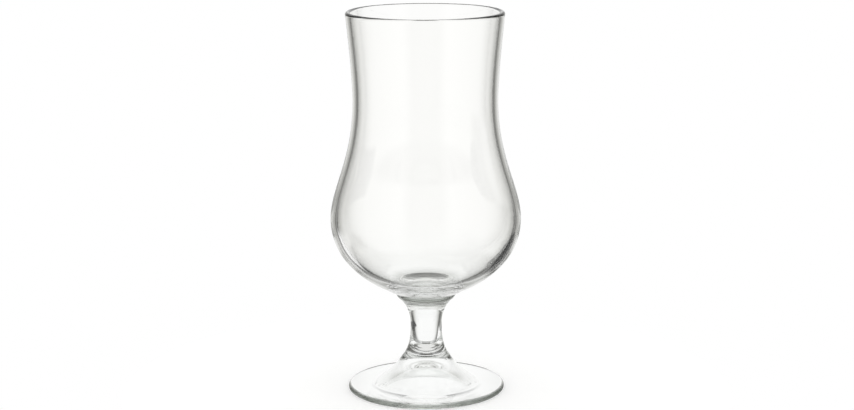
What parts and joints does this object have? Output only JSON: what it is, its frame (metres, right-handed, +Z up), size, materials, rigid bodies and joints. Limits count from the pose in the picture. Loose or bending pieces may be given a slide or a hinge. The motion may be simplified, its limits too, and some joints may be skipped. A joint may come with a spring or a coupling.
{
  "type": "beer glass",
  "caption": "Clear stemmed tulip beer glass: a waisted blown bowl fused by a collar to a solid stem on a round pressed foot.",
  "frame": {"origin": "centre of the foot's standing ring, on the table", "axes": "+Z up along the axis of the glass, +X to the right in the picture, -Y towards its camera"},
  "size_m": [0.093, 0.093, 0.187],
  "materials": {
    "clear_glass": "fire-polished soda-lime glass"
  },
  "bodies": {
    "root": {"bowl": "clear_glass", "collar": "clear_glass", "stem": "clear_glass", "foot": "clear_glass"}
  },
  "joints": []
}
